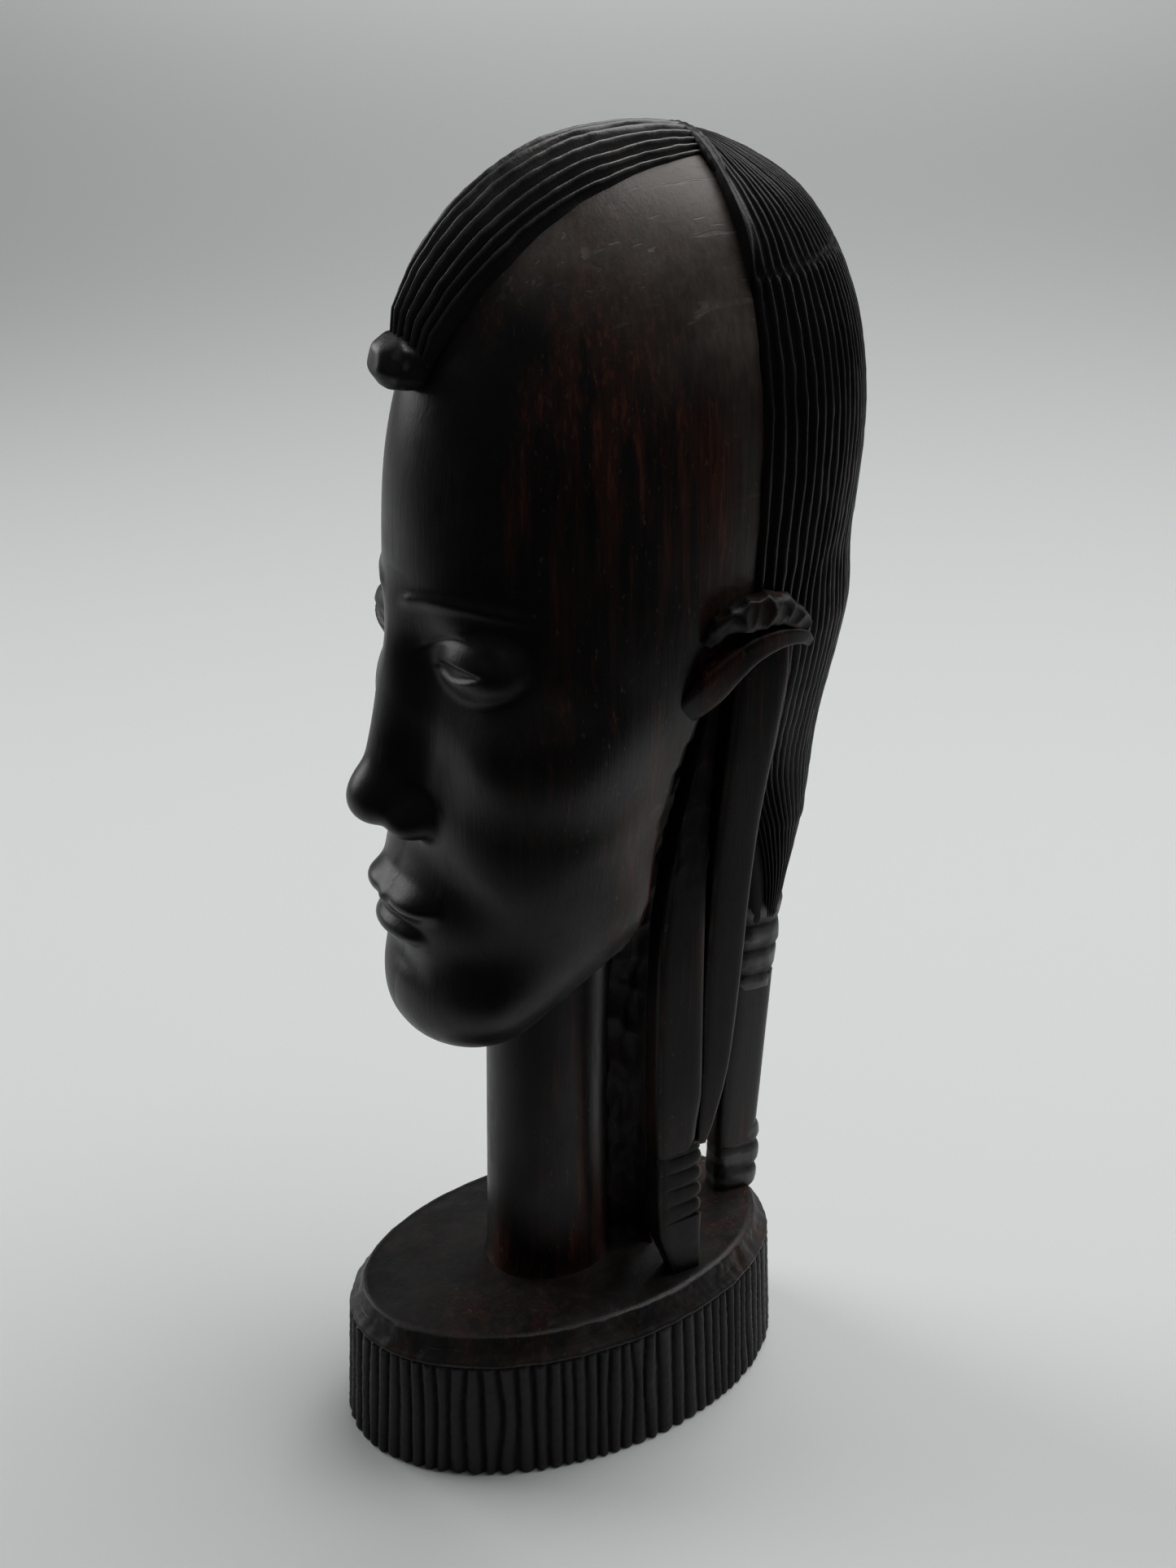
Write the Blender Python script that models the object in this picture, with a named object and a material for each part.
"""A carved blackwood head on an oval fluted plinth, in metres.

+Z is up, the face looks towards -Y and the origin is the centre of the plinth's underside.
The real thing is one block of wood. Each carved form is a solid of its own here, split from its
neighbours along the carver's own edges with a narrow gap.
"""

from math import cos, pi, radians, sin, tau

import bmesh
import bpy
import numpy as np

# Driving dimensions
GAP = 0.0003

# Plinth: half sizes across (X) and along (Y) at the edge of its flat top
PLINTH_HALF = (0.0264, 0.0426)
PLINTH_CENTRE_Y = -0.002
PLINTH_TOP = 0.0310
SKIRT_TOP = 0.0255
SKIRT_SPREAD_TOP = 0.0031
SKIRT_SPREAD_FOOT = 0.0043
FLUTES = 80
FLUTE_DEPTH = 0.0008

# Head: the axis that its surface is measured from, and the spread of its rays
AXIS_LOW = (0.0, -0.006, 0.120)
AXIS_HIGH = (0.0, 0.016, 0.222)
RAY_SPREAD = (0.030, 0.044, 0.030)

# Hair
HAIR_THICKNESS = 0.0024
CREST_ORIGIN = (0.0, 0.008, 0.190)
CREST_ANGLES = (145.0, 78.8)
PARTING_Y = (0.0206, 0.0225)
PARTING_HALF_ANGLE = 17.0
HAIR_LOW_END = 0.0968
HAIR_RIDGES = 56
HAIR_GROOVE = 0.0005
CREST_ROOT = 0.0040
KNOT_CENTRE = (0.0, -0.0305, 0.2178)
KNOT_SIZE = (0.0088, 0.0108, 0.0096)
KNOT_BEVEL = 0.0022
KNOT_TILT = -12.0

# The tied tail: three wraps at its top and three beads at its foot
TIE_LOW = 0.0842
TIE_WRAP = 0.0042
BEAD_HEIGHT = 0.0044

# Neck: half sizes of its oval, its centre's place, and where the web behind it begins
NECK_HALF = (0.0105, 0.0122)
NECK_CENTRE_Y = -0.0055
WEB_FRONT = 0.0083

# Ears, lobes and pendants, on the left side; the right side mirrors them
EAR_REACH = 0.0325
EAR_ROOT = 0.0225
LOBE_FOOT = 0.0612
NOTCH_LOW = 0.0452
NOTCH_HEIGHT = 0.0036

POLISHED = ("polished_blackwood", (0.020, 0.010, 0.008), 0.34)
CARVED = ("carved_blackwood", (0.013, 0.010, 0.010), 0.55)
HEARTWOOD = ("reddish_heartwood", (0.034, 0.014, 0.009), 0.32)
ROUGH = ("tooled_blackwood", (0.012, 0.009, 0.008), 0.70)


# Scene, materials and mesh helpers

def clear_scene():
    for obj in list(bpy.data.objects):
        bpy.data.objects.remove(obj)


def wood(finish):
    """The Principled material of one finish: its name, colour and roughness."""
    name, colour, roughness = finish
    material = bpy.data.materials.get(name)
    if material is None:
        material = bpy.data.materials.new(name)
        material.use_nodes = True
        shader = material.node_tree.nodes["Principled BSDF"]
        shader.inputs["Base Color"].default_value = (*colour, 1.0)
        shader.inputs["Roughness"].default_value = roughness
        shader.inputs["Metallic"].default_value = 0.0
    return material


def add_object(name, mesh, finish=None, smooth_angle=40.0):
    obj = bpy.data.objects.new(name, mesh)
    bpy.context.scene.collection.objects.link(obj)
    if finish is None:
        obj.hide_render = True
        obj.display_type = "WIRE"
    else:
        mesh.materials.append(wood(finish))
        mesh.shade_smooth()
        mesh.set_sharp_from_angle(angle=radians(smooth_angle))
    return obj


def mesh_from_bmesh(name, bm):
    bmesh.ops.recalc_face_normals(bm, faces=bm.faces)
    mesh = bpy.data.meshes.new(name)
    bm.to_mesh(mesh)
    bm.free()
    return mesh


def add_ring(bm, points):
    """A closed loop of vertices and its edges."""
    verts = [bm.verts.new(point) for point in points]
    return verts, [bm.edges.new(pair) for pair in zip(verts, verts[1:] + verts[:1])]


def loft(name, rings, finish=None, smooth_angle=40.0):
    """Bridges rings of equal length into a tube and fills both ends."""
    bm = bmesh.new()
    loops = [add_ring(bm, ring) for ring in rings]
    for (_, low), (_, high) in zip(loops, loops[1:]):
        bmesh.ops.bridge_loops(bm, edges=low + high)
    bm.faces.new(loops[0][0])
    bm.faces.new(loops[-1][0])
    return add_object(name, mesh_from_bmesh(name, bm), finish, smooth_angle)


def closed_grid(name, rows, low_pole, high_pole, finish=None):
    """Rings of points from a low pole to a high pole, as one closed skin."""
    bm = bmesh.new()
    loops = [[bm.verts.new(point) for point in row] for row in rows]
    columns = len(loops[0])
    for low, high in zip(loops, loops[1:]):
        for i in range(columns):
            j = (i + 1) % columns
            bm.faces.new((low[i], low[j], high[j], high[i]))
    for loop, pole in ((loops[0], low_pole), (loops[-1], high_pole)):
        tip = bm.verts.new(pole)
        for i in range(columns):
            bm.faces.new((loop[i], loop[(i + 1) % columns], tip))
    return add_object(name, mesh_from_bmesh(name, bm), finish)


def boolean(obj, other, operation):
    modifier = obj.modifiers.new(f"{operation.lower()} {other.name}", "BOOLEAN")
    modifier.operation = operation
    modifier.object = other
    modifier.solver = "EXACT"
    return obj


def mirrored(obj, name):
    """The right-hand twin of a left-hand solid, with the same modifiers."""
    mesh = obj.data.copy()
    mesh.name = name
    bm = bmesh.new()
    bm.from_mesh(mesh)
    bmesh.ops.scale(bm, vec=(-1.0, 1.0, 1.0), verts=bm.verts)
    bmesh.ops.reverse_faces(bm, faces=bm.faces)
    bm.to_mesh(mesh)
    bm.free()
    twin = obj.copy()
    twin.name = name
    twin.data = mesh
    bpy.context.scene.collection.objects.link(twin)
    return twin


def oval(half_x, half_y, z, count, centre=(0.0, 0.0), power=2.0, turn=0.0):
    """Points of a superellipse at height z: power 2 is an ellipse, 4 is nearly a rectangle."""
    points = []
    for i in range(count):
        angle = turn + tau * i / count
        across = np.sign(cos(angle)) * abs(cos(angle)) ** (2.0 / power)
        along = np.sign(sin(angle)) * abs(sin(angle)) ** (2.0 / power)
        points.append((centre[0] + half_x * across, centre[1] + half_y * along, z))
    return points


# The head's surface, as a blend of ellipsoids and tapered bars

def ellipsoid(points, centre, half):
    """About how far each point lies outside an ellipsoid; negative inside."""
    away = points - np.array(centre)
    scaled = np.linalg.norm(away / np.array(half), axis=-1)
    slope = np.linalg.norm(away / np.array(half) ** 2, axis=-1) + 1e-9
    return scaled * (scaled - 1.0) / slope


def tapered_bar(points, start, end, start_radius, end_radius):
    """How far each point lies outside a round bar between two points."""
    start, end = np.array(start), np.array(end)
    run = end - start
    share = np.clip((points - start) @ run / (run @ run), 0.0, 1.0)
    radius = start_radius + (end_radius - start_radius) * share
    return np.linalg.norm(points - start - share[..., None] * run, axis=-1) - radius


def blend(first, second, reach):
    """The union of two forms, with a fillet of about this reach where they meet."""
    mix = np.clip(0.5 + 0.5 * (second - first) / reach, 0.0, 1.0)
    return second * (1.0 - mix) + first * mix - reach * mix * (1.0 - mix)


def skull_form(points):
    """Cranium, face, chin and jaw, the same on both sides."""
    side = points * 1.0
    side[..., 0] = np.abs(side[..., 0])
    form = ellipsoid(side, (0.0, 0.0095, 0.1870), (0.0290, 0.0430, 0.0620))
    form = blend(form, ellipsoid(side, (0.0, 0.0215, 0.208), (0.0265, 0.0295, 0.0382)), 0.009)
    form = blend(form, ellipsoid(side, (0.0, -0.005, 0.146), (0.0250, 0.028, 0.050)), 0.012)
    form = blend(form, ellipsoid(side, (0.0, -0.020, 0.104), (0.013, 0.0145, 0.016)), 0.012)
    jaw = tapered_bar(side, (0.009, -0.022, 0.102), (0.0150, -0.001, 0.118), 0.009, 0.0075)
    return blend(form, jaw, 0.010)


def face_form(points):
    """The skull with a straight nose, full lips and shallow eye sockets, on plain thirds."""
    side = points * 1.0
    side[..., 0] = np.abs(side[..., 0])
    form = skull_form(points)
    bridge = tapered_bar(side, (0.0, -0.0290, 0.1700), (0.0, -0.0360, 0.1395), 0.0030, 0.0060)
    form = blend(form, bridge, 0.009)
    wing = ellipsoid(side, (0.0055, -0.0330, 0.1380), (0.0040, 0.0060, 0.0045))
    form = blend(form, wing, 0.006)
    lips = ellipsoid(side, (0.0, -0.0300, 0.1180), (0.0125, 0.0085, 0.0080))
    form = blend(form, lips, 0.007)
    socket = ellipsoid(side, (0.0135, -0.0370, 0.1690), (0.0090, 0.0070, 0.0070))
    return -blend(-form, socket, 0.008)


def hair_form(points):
    """The back hair: the skull grown by the hair's thickness, tapering to a tail at the nape."""
    side = points * np.array((0.8, 1.0, 1.0))
    side[..., 0] = np.abs(side[..., 0])
    upper = tapered_bar(side, (0.0, 0.0362, 0.165), (0.0, 0.0394, 0.122), 0.0159, 0.0098)
    lower = tapered_bar(side, (0.0, 0.0394, 0.122), (0.0, 0.0402, 0.098), 0.0098, 0.0054)
    return blend(skull_form(points) - HAIR_THICKNESS, np.minimum(upper, lower), 0.009)


def cast(form, origins, directions, reach=0.12):
    """Where each ray leaves the form: the outermost crossing, found by stepping and halving."""
    steps = np.linspace(reach, 0.0, 121)
    outside = np.full(origins.shape[:-1], reach)
    inside = np.zeros(origins.shape[:-1])
    found = np.zeros(origins.shape[:-1], bool)
    for near, far in zip(steps[1:], steps):
        hit = (form(origins + directions * near) < 0.0) & ~found
        outside = np.where(hit, far, outside)
        inside = np.where(hit, near, inside)
        found |= hit
    for _ in range(24):
        middle = (outside + inside) / 2
        within = form(origins + directions * middle[..., None]) < 0.0
        inside = np.where(within, middle, inside)
        outside = np.where(within, outside, middle)
    return origins + directions * ((outside + inside) / 2)[..., None]


def head_rays(columns, rows, low, high):
    """Ray origins along an axis and directions that fan out from its ends, with both poles last."""
    rise = np.sin((np.arange(1, rows) / rows - 0.5) * pi)
    around = (np.arange(columns) / columns) * tau - pi / 2
    # More columns towards the face, at -pi/2.
    around = around - 0.35 * np.sin(around + pi / 2)
    rise, around = np.meshgrid(rise, around, indexing="ij")
    level = np.sqrt(1.0 - rise**2)
    spread = np.array(RAY_SPREAD)
    directions = np.stack([np.cos(around) * level, np.sin(around) * level, rise], -1) * spread
    origins = np.array(low) + (rise[..., None] + 1) / 2 * (np.array(high) - np.array(low))
    directions /= np.linalg.norm(directions, axis=-1, keepdims=True)
    poles = (np.array([low, high]), np.array([(0, 0, -1.0), (0, 0, 1.0)]))
    return origins, directions, poles


def cast_solid(name, form, columns, rows, low, high, finish=None):
    origins, directions, poles = head_rays(columns, rows, low, high)
    grid = cast(form, origins, directions)
    ends = cast(form, *poles)
    return closed_grid(name, grid.tolist(), ends[0], ends[1], finish)


# Plinth

def build_plinth_skirt():
    """The fluted wall round the foot, spreading a little towards the floor."""
    rings = []
    for z, spread in ((0.0, SKIRT_SPREAD_FOOT), (SKIRT_TOP, SKIRT_SPREAD_TOP)):
        ring = []
        for i in range(FLUTES * 3):
            angle = tau * i / (FLUTES * 3)
            depth = FLUTE_DEPTH if i % 3 == 0 else 0.0
            half_x = PLINTH_HALF[0] + spread - depth
            half_y = PLINTH_HALF[1] + spread - depth
            ring.append((half_x * cos(angle), PLINTH_CENTRE_Y + half_y * sin(angle), z))
        rings.append(ring)
    return loft("plinth_skirt", rings, CARVED, smooth_angle=20.0)


def build_plinth_collar():
    """The plain sloping band above the flutes, with a low step to the flat top."""
    profile = (
        (SKIRT_TOP + GAP, SKIRT_SPREAD_TOP - 0.0003),
        (SKIRT_TOP + 0.0014, SKIRT_SPREAD_TOP - 0.0004),
        (SKIRT_TOP + 0.0032, 0.0013),
        (SKIRT_TOP + 0.0038, 0.0003),
        (PLINTH_TOP - 0.0004, 0.0),
        (PLINTH_TOP, -0.0005),
    )
    centre = (0.0, PLINTH_CENTRE_Y)
    rings = [
        oval(PLINTH_HALF[0] + out, PLINTH_HALF[1] + out, z, 72, centre) for z, out in profile
    ]
    return loft("plinth_collar", rings, HEARTWOOD)


# Neck

def build_neck_column(head_cutter):
    stations = ((PLINTH_TOP + GAP, 1.10), (0.036, 1.04), (0.052, 1.0), (0.080, 1.0), (0.112, 1.05))
    half_x, half_y = NECK_HALF
    centre = (0.0, NECK_CENTRE_Y)
    rings = [oval(half_x * k, half_y * k, z, 32, centre) for z, k in stations]
    column = loft("neck_column", rings, HEARTWOOD)
    return boolean(column, head_cutter, "DIFFERENCE")


def build_nape_web(head_cutter):
    """The rough wood left behind the neck: a web with a rib down each side, wide under the head."""
    # Height, half width and how far back it reaches
    stations = (
        (PLINTH_TOP + GAP, 0.0108, 0.0165),
        (0.040, 0.0098, 0.0160),
        (0.070, 0.0092, 0.0160),
        (0.090, 0.0092, 0.0170),
        (0.108, 0.0130, 0.0230),
        (0.128, 0.0175, 0.0295),
        (0.150, 0.0180, 0.0300),
    )
    rings = []
    for z, half, back in stations:
        run = back - WEB_FRONT
        waist, rib = WEB_FRONT + run * 0.38, WEB_FRONT + run * 0.70
        side = [(half * 0.60, WEB_FRONT), (half * 0.55, waist), (half, rib), (half * 0.86, back)]
        rings.append([(x, y, z) for x, y in side] + [(-x, y, z) for x, y in side[::-1]])
    web = loft("nape_web", rings, ROUGH)
    return boolean(web, head_cutter, "DIFFERENCE")


# Hair

def build_rear_hair(head_cutter):
    """The grooved cap of hair behind the parting line, hanging to a tail."""
    low, high = (0.0, 0.0400, 0.104), (0.0, 0.016, 0.222)
    columns = HAIR_RIDGES * 2
    origins, directions, poles = head_rays(columns, 22, low, high)
    grid = cast(hair_form, origins, directions)
    # Every second column is a groove.
    grid[:, ::2] -= directions[:, ::2] * HAIR_GROOVE
    ends = cast(hair_form, *poles)
    hair = closed_grid("rear_hair", grid.tolist(), ends[0], ends[1], CARVED)
    # The hairline seen from the side, as heights and distances back.
    border = (
        (0.0229, 0.2700),
        (0.0229, 0.2370),
        (0.0212, 0.2355),
        (0.0212, 0.2180),
        (0.0203, 0.2020),
        (0.0188, 0.1900),
        (0.0165, 0.1788),
        (0.0336, 0.1750),
        (0.0344, 0.1620),
        (0.0310, 0.1450),
        (0.0330, 0.1200),
        (0.0345, HAIR_LOW_END),
        (0.0800, HAIR_LOW_END),
        (0.0800, 0.2700),
    )
    sides = [[(x, y, z) for y, z in border] for x in (-0.05, 0.05)]
    region = loft("rear_hair_region", sides)
    boolean(hair, region, "INTERSECT")
    return boolean(hair, head_cutter, "DIFFERENCE")


def crest_ring(form, angle, half_width, proud, count=12):
    """A cross-section of the front crest: an arc standing proud of the skull, closed inside it."""
    origin = np.array(CREST_ORIGIN)
    middle = np.array((0.0, cos(radians(angle)), sin(radians(angle))))
    centre = cast(form, origin[None], middle[None])[0]
    across = np.linspace(-1.0, 1.0, count)
    aims = centre - origin + np.outer(across * half_width, (1.0, 0.0, 0.0))
    aims /= np.linalg.norm(aims, axis=-1, keepdims=True)
    skin = cast(form, np.repeat(origin[None], count, 0), aims)
    crown = skin + aims * (proud * (1.0 - 0.25 * across**4))[:, None]
    return crown.tolist() + (skin - aims * CREST_ROOT)[::-1].tolist()


def knot_block(name, margin, finish=None):
    """A bevelled block at the knot's place, grown by a margin on every side."""
    bm = bmesh.new()
    bmesh.ops.create_cube(bm, size=1.0)
    size = [side + 2 * margin for side in KNOT_SIZE]
    bmesh.ops.scale(bm, vec=size, verts=bm.verts)
    edges = bm.verts[:] + bm.edges[:]
    bmesh.ops.bevel(bm, geom=edges, offset=KNOT_BEVEL, segments=2, affect="EDGES", profile=0.6)
    knot = add_object(name, mesh_from_bmesh(name, bm), finish, smooth_angle=30.0)
    knot.location = KNOT_CENTRE
    knot.rotation_euler = (radians(KNOT_TILT), 0.0, 0.0)
    return knot


def build_hair_crest(head_cutter):
    """The raised band of braids from the parting down to the knot over the forehead."""
    # Share of the way from the knot to the parting, half width and height above the skull.
    stations = (
        (0.00, 0.0040, 0.0040),
        (0.08, 0.0050, 0.0058),
        (0.20, 0.0068, 0.0070),
        (0.35, 0.0090, 0.0066),
        (0.50, 0.0104, 0.0054),
        (0.65, 0.0110, 0.0041),
        (0.82, 0.0105, 0.0029),
        (1.00, 0.0088, 0.0023),
    )
    start, end = CREST_ANGLES
    rings = [
        crest_ring(skull_form, start + (end - start) * share, width, proud)
        for share, width, proud in stations
    ]
    crest = loft("hair_crest", rings, CARVED)
    boolean(crest, knot_block("knot_clearance", GAP), "DIFFERENCE")
    return boolean(crest, head_cutter, "DIFFERENCE")


def build_crown_parting(head_cutter):
    """A thin seam across the crown between the crest and the back hair."""
    angles = np.radians(np.linspace(-PARTING_HALF_ANGLE, PARTING_HALF_ANGLE, 13))
    origin = np.array((0.0, sum(PARTING_Y) / 2, 0.205))
    aims = np.stack([np.sin(angles), 0 * angles, np.cos(angles)], -1)
    skin = cast(skull_form, np.repeat(origin[None], len(aims), 0), aims)
    rings = []
    for point, aim in zip(skin, aims):
        top, low = point + aim * 0.0024, point - aim * 0.003
        rings.append(
            [
                (low[0], PARTING_Y[0], low[2]),
                (top[0], PARTING_Y[0], top[2] - 0.0004),
                (top[0], sum(PARTING_Y) / 2, top[2]),
                (top[0], PARTING_Y[1], top[2] - 0.0004),
                (low[0], PARTING_Y[1], low[2]),
            ]
        )
    seam = loft("crown_parting", rings, CARVED)
    return boolean(seam, head_cutter, "DIFFERENCE")


def build_forehead_knot(head_cutter):
    """The small blocky bead of hair set into the front end of the crest."""
    return boolean(knot_block("forehead_knot", 0.0, CARVED), head_cutter, "DIFFERENCE")


def strap_rings(stations, count=16, power=3.2):
    """Rounded-rectangle sections: height, centre x and y, half thickness x and half width y."""
    return [oval(hx, hy, z, count, (x, y), power, turn=pi / count) for z, x, y, hx, hy in stations]


def build_hair_tie():
    """Three notched wraps where the hair is gathered at the nape."""
    stations = []
    for i in range(3):
        base = TIE_LOW + i * TIE_WRAP
        y = 0.0394 + 0.0003 * i
        for share, swell in ((0.04, 0.88), (0.30, 1.0), (0.70, 1.0), (0.96, 0.88)):
            half_x, half_y = 0.0048 + 0.0004 * i, 0.0052
            stations.append((base + share * TIE_WRAP, 0.0, y, half_x * swell, half_y * swell))
    return loft("hair_tie", strap_rings(stations), CARVED, smooth_angle=25.0)


def build_hair_tail():
    stations = (
        (0.0448, 0.0, 0.0374, 0.0036, 0.0047),
        (0.0560, 0.0, 0.0379, 0.0038, 0.0048),
        (0.0700, 0.0, 0.0386, 0.0041, 0.0048),
        (0.0838, 0.0, 0.0392, 0.0045, 0.0048),
    )
    return loft("hair_tail", strap_rings(stations), POLISHED)


def build_tail_beads():
    """Three carved beads that end the tail and stand it on the plinth."""
    low = PLINTH_TOP + GAP
    stations = []
    for i in range(3):
        for share, swell in ((0.03, 0.84), (0.30, 1.0), (0.70, 1.0), (0.97, 0.84)):
            z = low + (i + share) * BEAD_HEIGHT
            stations.append((z, 0.0, 0.0371 + 0.0003 * i, 0.0036 * swell, 0.0049 * swell))
    stations[0] = (low, *stations[0][1:])
    return loft("tail_beads", strap_rings(stations), CARVED, smooth_angle=25.0)


# Ears, stretched lobes and pendants

def build_left_ear(head_cutter, hair_cutter):
    """The top of the ear: a slanting rim with a hollow above and below it."""
    outline = (
        (0.0085, 0.1606),
        (0.0105, 0.1680),
        (0.0138, 0.1745),
        (0.0185, 0.1768),
        (0.0255, 0.1760),
        (0.0292, 0.1722),
        (0.0322, 0.1682),
        (0.0316, 0.1650),
        (0.0240, 0.1622),
        (0.0160, 0.1606),
    )
    shifts = ((EAR_ROOT, 0.9), (0.0290, 1.0), (EAR_REACH - 0.0015, 0.98), (EAR_REACH, 0.86))
    middle = np.mean(outline, axis=0)
    rings = [
        [(x, *(middle + (np.array(point) - middle) * k)) for point in outline] for x, k in shifts
    ]
    ear = loft("left_ear", rings, POLISHED)
    bowls = (
        ("ear_upper_hollow", (0.0345, 0.0152, 0.1722), (0.0045, 0.0042, 0.0026)),
        ("ear_lower_hollow", (0.0345, 0.0225, 0.1640), (0.0050, 0.0060, 0.0026)),
    )
    # Each cutter holds a ball for either ear, so that the mirrored ear is hollowed as well.
    for name, (x, y, z), half in bowls:
        bm = bmesh.new()
        for place in ((x, y, z), (-x, y, z)):
            ball = bmesh.ops.create_uvsphere(bm, u_segments=16, v_segments=10, radius=1.0)["verts"]
            bmesh.ops.scale(bm, vec=half, verts=ball)
            bmesh.ops.translate(bm, vec=place, verts=ball)
        boolean(ear, add_object(name, mesh_from_bmesh(name, bm)), "DIFFERENCE")
    boolean(ear, head_cutter, "DIFFERENCE")
    return boolean(ear, hair_cutter, "DIFFERENCE")


def build_left_lobe_front(head_cutter):
    """The front strip of the stretched lobe."""
    stations = (
        (LOBE_FOOT, 0.0201, 0.0113, 0.0024, 0.0047),
        (0.0750, 0.0207, 0.0107, 0.0028, 0.0050),
        (0.1010, 0.0217, 0.0098, 0.0028, 0.0048),
        (0.1250, 0.0229, 0.0113, 0.0028, 0.0042),
        (0.1450, 0.0245, 0.0137, 0.0026, 0.0024),
        (0.1570, 0.0254, 0.0153, 0.0022, 0.0013),
    )
    strip = loft("left_lobe_front", strap_rings(stations), POLISHED)
    return boolean(strip, head_cutter, "DIFFERENCE")


def build_left_lobe_rear(head_cutter):
    """The back strip of the stretched lobe, wide at the ear and narrow at the foot."""
    stations = (
        (LOBE_FOOT + 0.0004, 0.0196, 0.0180, 0.0018, 0.0013),
        (0.0790, 0.0202, 0.0192, 0.0024, 0.0029),
        (0.0980, 0.0211, 0.0196, 0.0026, 0.0039),
        (0.1320, 0.0230, 0.0207, 0.0027, 0.0043),
        (0.1490, 0.0245, 0.0220, 0.0027, 0.0050),
        (0.1600, 0.0252, 0.0231, 0.0025, 0.0054),
    )
    strip = loft("left_lobe_rear", strap_rings(stations), POLISHED)
    return boolean(strip, head_cutter, "DIFFERENCE")


def build_left_ear_pendant():
    """The notched drop under the lobe, which stands on the plinth."""
    stations = [
        (PLINTH_TOP + GAP, 0.0190, 0.0147, 0.0025, 0.0031),
        (0.0400, 0.0192, 0.0128, 0.0029, 0.0048),
    ]
    for i in range(4):
        for share, swell in ((0.05, 0.93), (0.30, 1.0), (0.70, 1.0), (0.95, 0.93)):
            z = NOTCH_LOW + (i + share) * NOTCH_HEIGHT
            stations.append((z, 0.0194, 0.0118, 0.0031 * swell, 0.0050 * swell))
    stations.append((LOBE_FOOT - GAP, 0.0196, 0.0116, 0.0028, 0.0046))
    return loft("left_ear_pendant", strap_rings(stations), HEARTWOOD, smooth_angle=25.0)


def main():
    clear_scene()
    bust = bpy.data.objects.new("carved_head", None)
    bpy.context.scene.collection.objects.link(bust)

    head_cutter = cast_solid(
        "head_clearance", lambda p: face_form(p) - GAP, 52, 34, AXIS_LOW, AXIS_HIGH
    )
    hair_cutter = cast_solid(
        "hair_clearance", lambda p: skull_form(p) - HAIR_THICKNESS, 40, 22, AXIS_LOW, AXIS_HIGH
    )
    pieces = [
        build_plinth_skirt(),
        build_plinth_collar(),
        build_neck_column(head_cutter),
        build_nape_web(head_cutter),
        cast_solid("head", face_form, 52, 34, AXIS_LOW, AXIS_HIGH, POLISHED),
        build_rear_hair(head_cutter),
        build_hair_crest(head_cutter),
        build_crown_parting(head_cutter),
        build_forehead_knot(head_cutter),
        build_hair_tie(),
        build_hair_tail(),
        build_tail_beads(),
    ]
    left = [
        build_left_ear(head_cutter, hair_cutter),
        build_left_lobe_front(head_cutter),
        build_left_lobe_rear(head_cutter),
        build_left_ear_pendant(),
    ]
    right = [mirrored(obj, obj.name.replace("left", "right")) for obj in left]
    for obj in pieces + left + right:
        obj.parent = bust


main()
